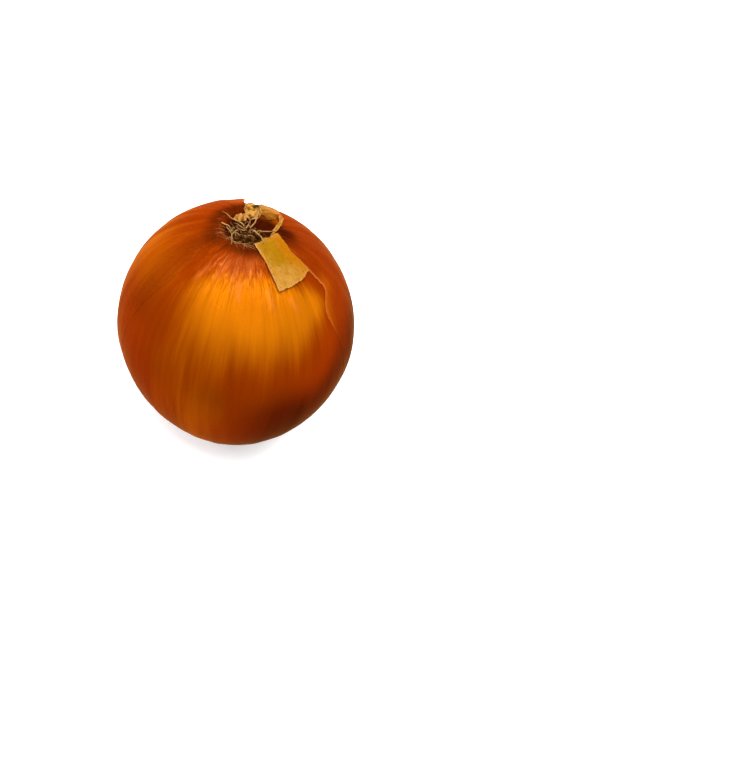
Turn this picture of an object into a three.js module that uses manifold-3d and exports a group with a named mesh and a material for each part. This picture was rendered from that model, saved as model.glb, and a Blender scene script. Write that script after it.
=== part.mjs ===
// A brown globe onion, lying tilted on a small flat spot of its shoulder, root end up.
//
// Units are millimetres and +Z is up. The origin is the middle of the flat spot, on the surface
// that the onion rests on. The onion's own axis runs from its neck, low at the front, to its root
// end, high at the back. Each shape is first worked out about that axis, with the root end at the
// top, and two nested groups then lean it over and turn it.
//
// A place on the onion is given by two angles in degrees: the colatitude, 0 at the middle of the
// root end and 180 at the neck, and the longitude about the axis.

import * as THREE from "three";
import { mergeVertices } from "three/addons/utils/BufferGeometryUtils.js";
import Module from "manifold-3d";

// ---------------------------------------------------------------- driving dimensions

const BULB_RADIUS = 37.5; // at the widest girth
const LEAN_DEG = 36.25; // of the onion's axis from the vertical, towards +Y
const TURN_DEG = -11.4; // of the leaning axis about the vertical
const FLAT_SPOT_DEPTH = 0.65; // taken off the round shoulder where it rests

const ROOT_FLATTENING = 1.0; // the root end is a little flatter than a ball
const ROOT_FLATTENING_DEG = 34;
const PIT_DEPTH = 2.2; // of the dimple that holds the root plate
const PIT_FLOOR_DEG = 7.5; // where its floor ends
const PIT_RIM_DEG = 15; // where its rim meets the shoulder

const NECK_RISE = 4.3; // of the closed neck above the shoulder
const NECK_WIDTH_DEG = 10.9;
const SHOULDER_RISE = 1.3; // of the shoulder towards the neck
const SHOULDER_WIDTH_DEG = 36;

const LOBE_SHARES = [0.025, 0.0025]; // of the radius, for 2 and 5 broad lobes
const LOBE_COUNTS = [2, 5];
const LOBE_PHASES_DEG = [131, 20];

const SKIN_GAP = 0.35; // between pieces that lie on each other
const SKIN_THICKNESS = 0.4; // of a dry outer skin, kept thick enough to be a sound solid
const SKIN_TOP_DEG = 16; // where the dry outer skins end at the root
const SKIN_BOTTOM_DEG = 148; // and at the neck
const FLAP_LIFT = 0.8; // of the flap's free end above the skin under it

const MAT_RADIUS = 5.4; // of the clipped roots' matted middle
const MAT_HEIGHT = 1.5;
const STRAND_COUNT = 16;
const STRAND_RADIUS = 0.3; // of a dry root

const GIRTH_SEGMENTS = 60;
const AXIS_SEGMENTS = 44;

const COLOURS = {
  inner_skin: 0xc8690f,
  outer_skin: 0x9a3d08,
  straw_skin: 0xd2a43a,
  dry_root: 0x7a5a2c,
  neck_skin: 0x9c6a2a,
};

// ---------------------------------------------------------------- small helpers

const radians = THREE.MathUtils.degToRad;
const degrees = THREE.MathUtils.radToDeg;
const wasm = await Module();
wasm.setup();

const bump = (x, width) => Math.exp(-((x / width) ** 2));

// A value read off a list of [place, value] pairs, in straight lines between them.
function along(stops, place) {
  const inside = THREE.MathUtils.clamp(place, stops[0][0], stops[stops.length - 1][0]);
  const next = Math.max(1, stops.findIndex(([stop]) => inside <= stop));
  const [from, low] = stops[next - 1];
  const [to, high] = stops[next];
  return THREE.MathUtils.mapLinear(inside, from, to, low, high);
}

function solidOf(geometry) {
  const bare = new THREE.BufferGeometry();
  bare.setAttribute("position", geometry.getAttribute("position").clone());
  bare.setIndex(geometry.index ? geometry.index.clone() : null);
  const merged = mergeVertices(bare, 1e-4);
  const mesh = new wasm.Mesh({
    numProp: 3,
    vertProperties: new Float32Array(merged.attributes.position.array),
    triVerts: new Uint32Array(merged.index.array),
  });
  return new wasm.Manifold(mesh);
}

function geometryOf(solid) {
  const mesh = solid.getMesh();
  return new THREE.BufferGeometry()
    .setAttribute("position", new THREE.BufferAttribute(new Float32Array(mesh.vertProperties), 3))
    .setIndex(new THREE.BufferAttribute(new Uint32Array(mesh.triVerts), 1));
}

// Moves every vertex of a geometry to where the function place(x, y, z) puts it.
function bend(geometry, place) {
  const position = geometry.attributes.position;
  for (let i = 0; i < position.count; i++) {
    const { x, y, z } = place(position.getX(i), position.getY(i), position.getZ(i));
    position.setXYZ(i, x, y, z);
  }
  return geometry;
}

// ---------------------------------------------------------------- the onion's own surface

// Distance from the bulb's centre to its skin: a ball with broad lobes, a flattened and dimpled
// root end, and a shoulder that rises into the closed neck.
function bulbReach(colatitude, longitude) {
  let lobes = 0;
  LOBE_COUNTS.forEach((count, i) => {
    lobes += LOBE_SHARES[i] * Math.cos(radians(count * longitude + LOBE_PHASES_DEG[i]));
  });
  const fromNeck = 180 - colatitude;
  const pit = 1 - THREE.MathUtils.smoothstep(colatitude, PIT_FLOOR_DEG, PIT_RIM_DEG);
  return (
    BULB_RADIUS * (1 + lobes * Math.sin(radians(colatitude))) -
    ROOT_FLATTENING * bump(colatitude, ROOT_FLATTENING_DEG) -
    PIT_DEPTH * pit +
    NECK_RISE * bump(fromNeck, NECK_WIDTH_DEG) +
    SHOULDER_RISE * bump(fromNeck, SHOULDER_WIDTH_DEG)
  );
}

// The point that stands off the bulb's skin by a distance, at a colatitude and longitude.
function onSkin(colatitude, longitude, off = 0) {
  const reach = bulbReach(colatitude, longitude) + off;
  const ring = reach * Math.sin(radians(colatitude));
  return new THREE.Vector3(
    ring * Math.cos(radians(longitude)),
    ring * Math.sin(radians(longitude)),
    reach * Math.cos(radians(colatitude)),
  );
}

// How far the uncut bulb reaches below its centre once it leans: the largest drop of its shoulder.
function lowestReach() {
  const down = new THREE.Vector3(0, Math.sin(radians(LEAN_DEG)), -Math.cos(radians(LEAN_DEG)));
  let lowest = 0;
  for (let colatitude = 100; colatitude <= 180; colatitude += 0.5) {
    for (let longitude = 0; longitude < 360; longitude += 2) {
      lowest = Math.max(lowest, onSkin(colatitude, longitude).dot(down));
    }
  }
  return lowest;
}

const CENTRE_HEIGHT = lowestReach() - FLAT_SPOT_DEPTH;

// ---------------------------------------------------------------- bulb

// The curled stub of dried leaf bases that closes the neck: the middle line of a tapering bar, and
// its radius at shares of its length.
const STUB_LINE = new THREE.CatmullRomCurve3([
  new THREE.Vector3(0, 0, -37.5),
  new THREE.Vector3(-0.6, 0.6, -41.2),
  new THREE.Vector3(-3.6, 1.2, -42.2),
  new THREE.Vector3(-8.2, 1.4, -41.3),
]);
const STUB_RADII = [
  [0, 3.4],
  [0.45, 2.9],
  [0.8, 2.4],
  [1, 1.8],
];
const STUB_SIDES = 12;
const STUB_STEPS = 10;

// A round bar of changing radius along a curve, made from a cylinder.
function taperedBar(line, radii, sides, steps) {
  const frames = line.computeFrenetFrames(steps);
  const bar = new THREE.CylinderGeometry(1, 1, steps, sides, steps);
  return bend(bar, (x, y, z) => {
    const step = Math.round(steps / 2 - y);
    const share = step / steps;
    const radius = along(radii, share);
    return line
      .getPointAt(share)
      .clone()
      .addScaledVector(frames.normals[step], x * radius)
      .addScaledVector(frames.binormals[step], z * radius);
  });
}

// The slab under the surface that the onion rests on, turned into the onion's own leaning frame.
function restingSlab() {
  const width = 4 * BULB_RADIUS;
  const depth = 0.5 * BULB_RADIUS;
  const slab = new THREE.BoxGeometry(width, width, depth);
  slab.translate(0, 0, -CENTRE_HEIGHT - depth / 2);
  slab.rotateX(radians(LEAN_DEG));
  return slab;
}

function bulb() {
  const ball = new THREE.SphereGeometry(1, GIRTH_SEGMENTS, AXIS_SEGMENTS);
  bend(ball, (x, y, z) => {
    const colatitude = degrees(Math.acos(THREE.MathUtils.clamp(y, -1, 1)));
    return onSkin(colatitude, degrees(Math.atan2(-z, x)));
  });
  const stub = taperedBar(STUB_LINE, STUB_RADII, STUB_SIDES, STUB_STEPS);
  return geometryOf(solidOf(ball).add(solidOf(stub)).subtract(solidOf(restingSlab())));
}

// ---------------------------------------------------------------- dry skins that lie on the bulb

// A thin panel on the bulb. It runs down from the colatitudes top to bottom, and its sides follow
// [colatitude, longitude] lists. Its inner face stands off the bulb by a function of the share of
// the way down.
function skinPanel({ left, right, top, bottom, off, across, down }) {
  const block = new THREE.BoxGeometry(1, 1, 1, across, down, 1);
  return bend(block, (x, y, z) => {
    const acrossShare = 0.5 + x;
    const downShare = 0.5 - y;
    const lower = THREE.MathUtils.lerp(bottom[0], bottom[1], acrossShare);
    const colatitude = THREE.MathUtils.lerp(top, lower, downShare);
    const longitude = THREE.MathUtils.lerp(along(left, colatitude), along(right, colatitude), acrossShare);
    return onSkin(colatitude, longitude, off(downShare) + (z < 0 ? 0 : SKIN_THICKNESS));
  });
}

const OUTER_SKIN = {
  top: SKIN_TOP_DEG,
  bottom: [SKIN_BOTTOM_DEG, SKIN_BOTTOM_DEG],
  off: () => SKIN_GAP,
  across: 10,
  down: 22,
};
const LEFT_SKIN = {
  ...OUTER_SKIN,
  left: [[12, 132], [18, 110], [30, 104], [60, 106], [90, 124], [112, 142], [150, 148]],
  right: [[12, 222], [17, 237], [32, 228], [58, 217], [90, 208], [120, 202], [150, 196]],
};
const RIGHT_SKIN = {
  ...OUTER_SKIN,
  left: [[12, -2], [18, -13], [26, -18], [40, -15], [51, -19], [60, -25], [75, -20], [110, -15], [150, -12]],
  right: [[12, 40], [20, 56], [60, 50], [90, 36], [112, 26], [150, 20]],
};

// A strip torn off at its lower end, still held at the root plate and lifting towards its free end.
const FLAP = {
  left: [[13, -66], [26, -60], [39, -54]],
  right: [[13, -10], [20, -19], [26, -22], [39, -19]],
  top: 14,
  bottom: [39, 35.5],
  off: (share) => SKIN_GAP + FLAP_LIFT * share ** 2,
  across: 8,
  down: 6,
};

// Two papery leaf ends beside the stub, from their free tips to the neck.
const LONG_LEAF = {
  left: [[157, -6], [163, -18], [169, -28]],
  right: [[157, 6], [163, 16], [169, 32]],
  top: 157,
  bottom: [169, 169],
  off: (share) => THREE.MathUtils.lerp(3.4, 0.7, share),
  across: 4,
  down: 5,
};
const SHORT_LEAF = {
  left: [[160, 196], [165, 190], [169, 180]],
  right: [[160, 206], [165, 214], [169, 224]],
  top: 160,
  bottom: [169, 169],
  off: (share) => THREE.MathUtils.lerp(1.8, 0.7, share),
  across: 4,
  down: 5,
};

// ---------------------------------------------------------------- roots

const STRAND_SIDES = 5;
const STRAND_STEPS = 6;
const STRAND_WANDER_DEG = 24; // sideways, the most that a strand strays from straight out
const STRAND_ARCH_OFF = 3.0; // of a strand's highest stretch above the dimple
const STRAND_END_OFF = 1.5; // of its end above the rim

// The matted middle, as a low domed disc that stands on the root plate.
function rootMat() {
  const profile = [
    new THREE.Vector2(0, 0),
    new THREE.Vector2(MAT_RADIUS * 0.8, 0),
    new THREE.Vector2(MAT_RADIUS, MAT_HEIGHT * 0.4),
    new THREE.Vector2(MAT_RADIUS * 0.7, MAT_HEIGHT * 0.85),
    new THREE.Vector2(0, MAT_HEIGHT),
  ];
  const mat = new THREE.LatheGeometry(profile, 16);
  return mat.rotateX(Math.PI / 2).translate(0, 0, onSkin(0, 0, SKIN_GAP).z);
}

// One dry root: it leaves the mat steeply, arches over and lies down towards the rim of the dimple.
function rootStrand(index) {
  const turn = (index * 360) / STRAND_COUNT;
  const wander = STRAND_WANDER_DEG * Math.sin(2.4 * index);
  const length = 0.5 + 0.5 * Math.sin(1.7 * index + 0.6); // from 0, short, to 1, long
  const start = onSkin(3.2 + 1.6 * length, turn, MAT_HEIGHT * 0.6);
  const arch = onSkin(8.5 + length, turn + wander / 2, STRAND_ARCH_OFF - 0.5 * length);
  const end = onSkin(13 + 3 * length, turn + wander, STRAND_END_OFF);
  const circle = new THREE.EllipseCurve(0, 0, STRAND_RADIUS, STRAND_RADIUS);
  const section = new THREE.Shape(circle.getPoints(STRAND_SIDES).slice(0, STRAND_SIDES));
  const extrudePath = new THREE.CatmullRomCurve3([start, arch, end]);
  return new THREE.ExtrudeGeometry(section, { steps: STRAND_STEPS, extrudePath });
}

function rootTuft() {
  let tuft = solidOf(rootMat());
  for (let index = 0; index < STRAND_COUNT; index++) {
    tuft = tuft.add(solidOf(rootStrand(index)));
  }
  return geometryOf(tuft);
}

// ---------------------------------------------------------------- assembly

// Each piece's name, its shape, its colour and how rough its surface is.
const PIECES = [
  ["bulb", bulb(), "inner_skin", 0.4],
  ["outer_skin_left", skinPanel(LEFT_SKIN), "outer_skin", 0.4],
  ["outer_skin_right", skinPanel(RIGHT_SKIN), "outer_skin", 0.4],
  ["skin_flap", skinPanel(FLAP), "straw_skin", 0.6],
  ["root_tuft", rootTuft(), "dry_root", 0.9],
  ["neck_leaf_long", skinPanel(LONG_LEAF), "neck_skin", 0.7],
  ["neck_leaf_short", skinPanel(SHORT_LEAF), "neck_skin", 0.7],
];

const leaning = new THREE.Group(); // leans the root end towards +Y
leaning.rotation.x = -radians(LEAN_DEG);
for (const [name, geometry, colour, roughness] of PIECES) {
  const material = new THREE.MeshStandardMaterial({ color: COLOURS[colour], roughness, metalness: 0 });
  const mesh = new THREE.Mesh(geometry, material);
  mesh.name = name;
  leaning.add(mesh);
}

const turned = new THREE.Group(); // turns the leaning onion about the vertical
turned.rotation.z = radians(TURN_DEG);
turned.position.z = CENTRE_HEIGHT;
turned.add(leaning);

const onion = new THREE.Group();
onion.add(turned);

export default onion;
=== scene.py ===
"""A dry brown globe onion, laid on its shoulder with the root end up, finished around its frame.

Lengths are in metres and places on the onion are two angles in degrees. The colatitude t goes from
0 at the root end to 180 at the neck. The longitude lon goes round the onion's own axis: 0 on its
right, 90 on its far side and -90 on the side that faces up. Shapes are worked out about that axis,
in the onion's own frame, and to_frame() then leans and turns them into place.
"""

import math

import bpy
import numpy as np
from bpy.props import FloatProperty, FloatVectorProperty, IntProperty, PointerProperty
from mathutils import Matrix, Vector


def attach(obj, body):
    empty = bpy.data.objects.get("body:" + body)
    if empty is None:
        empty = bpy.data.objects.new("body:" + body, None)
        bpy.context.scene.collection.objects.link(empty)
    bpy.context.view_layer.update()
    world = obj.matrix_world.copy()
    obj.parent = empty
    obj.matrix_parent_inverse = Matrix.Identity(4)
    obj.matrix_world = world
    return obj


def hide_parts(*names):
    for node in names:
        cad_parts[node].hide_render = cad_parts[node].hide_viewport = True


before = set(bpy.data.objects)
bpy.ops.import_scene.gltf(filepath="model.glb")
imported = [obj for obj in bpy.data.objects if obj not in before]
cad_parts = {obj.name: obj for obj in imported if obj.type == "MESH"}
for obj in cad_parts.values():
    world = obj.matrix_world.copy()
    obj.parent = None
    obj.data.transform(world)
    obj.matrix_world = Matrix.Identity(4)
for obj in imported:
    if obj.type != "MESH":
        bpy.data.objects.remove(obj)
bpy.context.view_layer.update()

bl_info = {
    "name": "Brown Onion",
    "version": (1, 0, 0),
    "blender": (4, 5, 0),
    "location": "View3D > Sidebar > Onion",
    "description": "Builds a dry brown onion with loose skins, a torn flap, roots and a curled neck",
    "category": "Add Mesh",
}

MM = 0.001
BODY = "root"  # the onion is one body

# ------------------------------------------------------------ the onion's form, as in its frame

BULB_RADIUS = 37.45 * MM
LEAN = math.radians(36.25)  # of the onion's own axis, from the vertical towards +Y
TURN = math.radians(-11.4)  # of the leaning onion about the vertical
FLAT_SPOT_DEPTH = 0.65 * MM
# How far each stretch rises from a ball or sinks into it, and where, in degrees from its own pole.
ROOT_FLATTENING, ROOT_FLATTENING_DEG = 1.0 * MM, 34.0
PIT_DEPTH, PIT_FLOOR_DEG, PIT_RIM_DEG = 2.2 * MM, 7.5, 15.0
NECK_RISE, NECK_WIDTH_DEG = 4.3 * MM, 10.9
SHOULDER_RISE, SHOULDER_WIDTH_DEG = 1.3 * MM, 36.0
# Broad lobes of the outline: their share of the radius, how many go round, and the phase.
LOBES = ((0.025, 2, 131.0), (0.0025, 5, 20.0))
# Single creases under the root end: their two ends as colatitude and longitude, in degrees.
CREASES = (
    (37, -66, 49, -63),
    (43, -50, 52, -47),
    (24, -103, 40, -109),
    (26, -92, 37, -94),
    (22, -80, 33, -79),
    (30, -118, 42, -122),
    (34, -88, 46, -86),
)
CREASE_HALF_WIDTH_DEG = 1.3
# The longest wave of a torn sheet's ragged edge, in degrees of the great circle.
RAGGED_WAVE_DEG = 9.0
# Fine ribs of the skin: how many go round, the phase, and their share of the relief.
RIBS = ((17, 40.0, 0.9), (26, 110.0, 0.8), (41, 10.0, 0.4))
# Folds that run up the neck: how many and how deep they are, and how steeply they wind round it, as
# the degrees of colatitude to one unit of twist.
PLEATS, PLEAT_DEPTH, PLEAT_TWIST_DEG = 9, 0.45 * MM, 60.0


def bump(x, width):
    """A bell of height 1 and the given half-width, centred on 0."""
    return np.exp(-((x / width) ** 2))


def smooth(x, low, high):
    """0 below low, 1 above high, and a smooth S between them."""
    share = np.clip((x - low) / (high - low), 0.0, 1.0)
    return share * share * (3.0 - 2.0 * share)


def curve(stops, x):
    """The value at x of a smooth curve through [place, value] stops: a cubic Hermite piece between
    each two, with the slopes that the neighbouring stops give."""
    places, values = np.asarray(stops, float).T
    slopes = np.gradient(values, places)
    x = np.clip(x, places[0], places[-1])
    i = np.clip(np.searchsorted(places, x) - 1, 0, len(places) - 2)
    width = places[i + 1] - places[i]
    s = (x - places[i]) / width
    return (
        (1 + 2 * s) * (1 - s) ** 2 * values[i]
        + s * (1 - s) ** 2 * width * slopes[i]
        + s * s * (3 - 2 * s) * values[i + 1]
        - s * s * (1 - s) * width * slopes[i + 1]
    )


def wander(degrees, seed, size, waves=14):
    """A ragged line about 0: waves of rising frequency and falling height, added up. size is about
    the most that the line strays."""
    draw = np.random.default_rng(seed)
    order = np.arange(1, waves + 1)
    rate = order * draw.uniform(0.8, 1.25, waves)
    phase = draw.uniform(0, 2 * math.pi, waves)
    turns = np.multiply.outer(degrees / RAGGED_WAVE_DEG, rate)
    return size * 0.7 * np.sin(2 * math.pi * turns + phase) @ (1 / order**0.9)


def crumple(points, pitch, seed, waves=9):
    """A lumpy field in space from about -1 to 1: the mean of plane waves in random directions, each
    about pitch long."""
    draw = np.random.default_rng(seed)
    directions = draw.normal(size=(3, waves))
    lengths = pitch * draw.uniform(0.7, 1.6, waves)
    directions *= 2 * math.pi / (lengths * np.linalg.norm(directions, axis=0))
    return np.sin(points @ directions + draw.uniform(0, 6.3, waves)).mean(-1) * 1.6


def bulb_reach(colatitude, longitude):
    """Distance from the bulb's centre to its skin: a ball with broad lobes, a flattened and dimpled
    root end, and a shoulder that rises into the closed neck."""
    lobes = sum(share * np.cos(np.radians(count * longitude + phase)) for share, count, phase in LOBES)
    return (
        BULB_RADIUS * (1 + lobes * np.sin(np.radians(colatitude)))
        - ROOT_FLATTENING * bump(colatitude, ROOT_FLATTENING_DEG)
        - PIT_DEPTH * (1 - smooth(colatitude, PIT_FLOOR_DEG, PIT_RIM_DEG))
        + NECK_RISE * bump(180 - colatitude, NECK_WIDTH_DEG)
        + SHOULDER_RISE * bump(180 - colatitude, SHOULDER_WIDTH_DEG)
    )


def turn_gap(longitude, centre):
    """Degrees from a longitude to a centre, the short way round, from -180 to 180."""
    return (longitude - centre + 180) % 360 - 180


def neck_pleats(longitude, twist):
    """Pleats round the neck, from -1 to 1: a sine folded sharp at its valleys, turning with twist."""
    phase = np.radians(longitude * PLEATS / 2) + twist * 1.3 + 0.35 * np.sin(np.radians(longitude * 2))
    return 2 * np.abs(np.sin(phase)) ** 0.8 - 1


def crinkled_share(t, lon):
    """Where the skin is crinkled, 0 to 1: on the upper side, under the root end."""
    return bump(t - 28, 15) * bump(turn_gap(lon, -78), 62)


def single_creases(t, lon):
    """Soft ridges, 0 to 1. Each is a bell about 1.6 mm wide across a line that fades at its ends."""
    total = 0.0
    for first_t, first_lon, last_t, last_lon in CREASES:
        share = (t - first_t) / (last_t - first_t)
        aside = turn_gap(lon, first_lon + (last_lon - first_lon) * share) * np.sin(np.radians(t))
        fade = smooth(share, -0.1, 0.25) * smooth(1 - share, -0.1, 0.4)
        total = total + bump(aside, CREASE_HALF_WIDTH_DEG) * fade
    return total


def skin_off(t, lon, depth):
    """How far the skin stands off the bulb's plain form. Its ribs are cosines round the axis,
    deepest near the root and neck where they crowd together, and none at the poles. Creases about
    1.5 mm wide and 8 mm long are added where it is crinkled, and pleats near the neck."""
    ribs = sum(
        share * np.cos(np.radians(count * lon + phase) + 0.8 * np.sin(np.radians(t * 1.7 + phase)))
        for count, phase, share in RIBS
    )
    ribs = ribs / 2.3 * (0.5 + 0.6 * bump(t - 19, 13) + 0.9 * bump(164 - t, 14))
    crinkles = crumple(around(t, lon) * [13, 13, 4.5], pitch=1.0, seed=12, waves=14)
    creases = 0.9 * crinkled_share(t, lon) * crinkles + 1.1 * single_creases(t, lon)
    pleats = PLEAT_DEPTH * neck_pleats(lon, t / PLEAT_TWIST_DEG) * smooth(t, 138, 168)
    return depth * (ribs + creases) * smooth(t, 6, 14) * smooth(180 - t, 4, 10) + pleats


def around(colatitude, longitude):
    """Where a point is for a pattern that follows the skin's veins, with no seam: the cosine and
    sine of its longitude, and its colatitude in radians."""
    longitude = np.radians(longitude)
    return np.stack([np.cos(longitude), np.sin(longitude), np.radians(colatitude)], -1)


def own_point(colatitude, longitude, off=0.0):
    """The point that stands off the bulb's skin by a distance, in the onion's own frame."""
    reach = bulb_reach(colatitude, longitude) + off
    ring = reach * np.sin(np.radians(colatitude))
    along = reach * np.cos(np.radians(colatitude))
    longitude = np.radians(longitude)
    return np.stack([ring * np.cos(longitude), ring * np.sin(longitude), along], -1)


def lean_matrix():
    """Leans the onion's own axis towards +Y and turns it about the vertical."""
    cos, sin = math.cos(LEAN), math.sin(LEAN)
    lean = np.array([[1, 0, 0], [0, cos, sin], [0, -sin, cos]])
    cos, sin = math.cos(TURN), math.sin(TURN)
    return np.array([[cos, -sin, 0], [sin, cos, 0], [0, 0, 1]]) @ lean


LEANING = lean_matrix()


def centre_height():
    """The largest drop of the leaning shoulder below the bulb's centre, less the flat spot."""
    lower_half = np.arange(100, 180.01, 0.5)
    colatitude, longitude = np.meshgrid(lower_half, np.arange(0, 360, 2), indexing="ij")
    drop = -(own_point(colatitude, longitude) @ LEANING.T)[..., 2]
    return drop.max() - FLAT_SPOT_DEPTH


CENTRE = np.array([0.0, 0.0, centre_height()])


def to_frame(points):
    """Points in the onion's own frame, leant, turned and lifted into the shared frame. Nothing goes
    below the surface that the onion rests on, which makes its flat spot."""
    placed = points @ LEANING.T + CENTRE
    placed[..., 2] = np.maximum(placed[..., 2], 0.0)
    return placed


# ------------------------------------------------------------ meshes


def grid_faces(rows, columns, wrap=False):
    """Four-cornered faces of a grid of points numbered row by row. With wrap, the last column is
    joined to the first."""
    last = columns if wrap else columns - 1
    row, column = np.meshgrid(np.arange(rows - 1), np.arange(last), indexing="ij")
    here = row * columns + column
    beside = row * columns + (column + 1) % columns
    return np.stack([here, here + columns, beside + columns, beside], -1).reshape(-1, 4)


def fan_faces(ring, tip, outward):
    """Three-cornered faces from a ring of points to one tip."""
    after = np.roll(ring, -1)
    corners = (ring, after) if outward else (after, ring)
    return np.stack([*corners, np.full(len(ring), tip)], -1)


def closed_faces(rows, columns):
    """Faces of a closed body made of rings. The points that close its first and last ends are
    numbered after those of the rings."""
    count = rows * columns
    ring = np.arange(columns)
    faces = grid_faces(rows, columns, wrap=True).tolist()
    faces += fan_faces(ring, count, outward=True).tolist()
    return faces + fan_faces(ring + count - columns, count + 1, outward=False).tolist()


def new_piece(name, points, faces, attributes, material, replaces=()):
    """Makes a mesh object from points, faces and attributes per point, with a smooth finish. It
    rides on the onion's one body."""
    mesh = bpy.data.meshes.new(name)
    mesh.from_pydata(points.reshape(-1, 3).tolist(), [], faces)
    for label, values in attributes.items():
        values = np.asarray(values, np.float32)
        vector = values.shape[-1] == 3 and values.ndim > 1
        layer = mesh.attributes.new(label, "FLOAT_VECTOR" if vector else "FLOAT", "POINT")
        layer.data.foreach_set("vector" if vector else "value", values.ravel())
    mesh.materials.append(material)
    mesh.validate()
    mesh.shade_smooth()
    # An open edge stays sharp, so that its thickness does not bend the light on the face beside it.
    corners = np.empty(len(mesh.loops), np.int32)
    mesh.loops.foreach_get("edge_index", corners)
    rim = np.bincount(corners, minlength=len(mesh.edges)) == 1
    mesh.attributes.new("sharp_edge", "BOOLEAN", "EDGE").data.foreach_set("value", rim)
    piece = bpy.data.objects.new(name, mesh)
    bpy.context.scene.collection.objects.link(piece)
    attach(piece, BODY)
    if replaces:
        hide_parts(*replaces)
    return piece


def sheet_grid(left, right, top, bottom, rows, columns, ragged, seed):
    """Colatitudes and longitudes of a sheet, row by row from its top. Its sides follow
    [colatitude, longitude] stops, and its ends follow [share across, colatitude] stops. ragged is
    how far the left, right, top and bottom edges wander, in degrees of the great circle; the
    wander dies out into the sheet and towards the corners. Points crowd towards the edges. Also
    gives each point's distance from the same four edges."""
    steps = [np.linspace(0.12, 0.88, count) for count in (rows, columns)]
    crowd = [0.5 - 0.5 * np.cos(math.pi * step) for step in steps]
    down, across = [(c - c[0]) / (c[-1] - c[0]) for c in crowd]
    u, s = np.meshgrid(down, across, indexing="ij")  # shares down the sheet and across it
    u_fade, s_fade = [smooth(np.minimum(x, 1 - x), 0.0, 0.06) for x in (u, s)]
    # The ends' widths in degrees set how many waves they have. The top's is taken further down.
    ends = (40, curve(bottom, 0.5))
    widths = [(curve(right, x) - curve(left, x)) % 360 * math.sin(math.radians(x)) for x in ends]
    first = curve(top, s) + wander(s * widths[0], seed, ragged[2]) * s_fade * (1 - u) ** 4
    last = curve(bottom, s) + wander(s * widths[1], seed + 1, ragged[3]) * s_fade * u**4
    t = first + (last - first) * u
    stretch = 1 / np.sin(np.radians(np.clip(t, 6, 174)))
    low = curve(left, t) + wander(t, seed + 2, ragged[0]) * stretch * u_fade * (1 - s) ** 4
    high = curve(right, t) + wander(t, seed + 3, ragged[1]) * stretch * u_fade * s**4
    lon = low + (high - low) * s
    degree = math.radians(1) * BULB_RADIUS
    margins = ((lon - low) / stretch, (high - lon) / stretch, t - first, last - t)
    return t, lon, [margin * degree for margin in margins]


def add_sheet(name, t, lon, off, attributes, material, slot, thickness, replaces=()):
    """A sheet on the bulb as a piece of its own: its outer face stands off the skin, its inner
    face lies its thickness below."""
    points = to_frame(own_point(t, lon, off))
    faces = grid_faces(*t.shape).tolist()
    piece = new_piece(name, points, faces, attributes, material, replaces)
    shell = piece.modifiers.new("thickness", "SOLIDIFY")
    shell.thickness = thickness
    shell.offset = -1.0
    shell.use_rim = True


def tubes(paths, radii, sides):
    """Closed round bars along paths, which are (bar, step, 3) points. Each ring lies square to its
    path, its radius comes from radii, as (bar, step), and a point a little beyond each end closes
    the bar."""
    bars, steps, _ = paths.shape
    tangent = np.gradient(paths, axis=1)
    tangent /= np.linalg.norm(tangent, axis=-1, keepdims=True)
    side = np.cross(tangent, [0.31, 0.27, 0.91])
    side /= np.linalg.norm(side, axis=-1, keepdims=True)
    other = np.cross(side, tangent)
    angle = np.arange(sides) * 2 * math.pi / sides
    spokes = np.cos(angle)[:, None] * side[:, :, None] + np.sin(angle)[:, None] * other[:, :, None]
    rings = paths[:, :, None] + radii[:, :, None, None] * spokes
    ends = [0, -1]
    outwards = np.array([-1, 1])[:, None] * tangent[:, ends]
    tips = paths[:, ends] + 0.6 * radii[:, ends, None] * outwards
    points = np.concatenate([rings.reshape(bars, -1, 3), tips], 1)
    ring, end = np.arange(sides), steps * sides
    first = np.arange(bars)[:, None, None] * (end + 2)
    quads = (grid_faces(steps, sides, wrap=True) + first).reshape(-1, 4)
    caps = np.vstack([fan_faces(ring, end, True), fan_faces(ring + end - sides, end + 1, False)])
    return points, quads.tolist() + (caps + first).reshape(-1, 3).tolist()


def tube_shares(values, sides):
    """Values per bar and step, as (bar, step), spread over the points that tubes() gives."""
    return np.concatenate([np.repeat(values, sides, 1), values[:, [0, -1]]], 1).ravel()


def skin_height(x, y):
    """Height, along the onion's own axis, of the bulb's skin above a place near the root end: the
    colatitude is worked out step by step from the distance to the axis."""
    ring, longitude = np.hypot(x, y), np.degrees(np.arctan2(y, x))
    colatitude = np.degrees(np.arcsin(np.clip(ring / BULB_RADIUS, 0, 1)))
    for _ in range(20):
        reach = bulb_reach(colatitude, longitude)
        colatitude = np.degrees(np.arcsin(np.clip(ring / reach, 0, 1)))
    return reach * np.cos(np.radians(colatitude))


# ------------------------------------------------------------ materials


def linear(hex_colour):
    """An sRGB colour such as "c8690f" as linear red, green, blue and alpha."""
    channels = np.array([int(hex_colour[i : i + 2], 16) for i in (0, 2, 4)]) / 255
    values = np.where(channels <= 0.04045, channels / 12.92, ((channels + 0.055) / 1.055) ** 2.4)
    return (*values.tolist(), 1.0)


def add_node(tree, kind, inputs=(), out=0, **settings):
    """Adds a node, makes its settings, feeds its sockets with values or other nodes' outputs, and
    gives back one of its own outputs."""
    node = tree.nodes.new("ShaderNode" + kind)
    for key, value in settings.items():
        setattr(node, key, value)
    for socket, value in dict(inputs).items():
        if isinstance(value, bpy.types.NodeSocket):
            tree.links.new(value, node.inputs[socket])
        else:
            node.inputs[socket].default_value = value
    return node.outputs[out] if node.outputs else None


def new_material(name):
    """An empty node material and its node tree."""
    material = bpy.data.materials.new(name)
    material.use_nodes = True
    material.node_tree.nodes.clear()
    return material, material.node_tree


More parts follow.
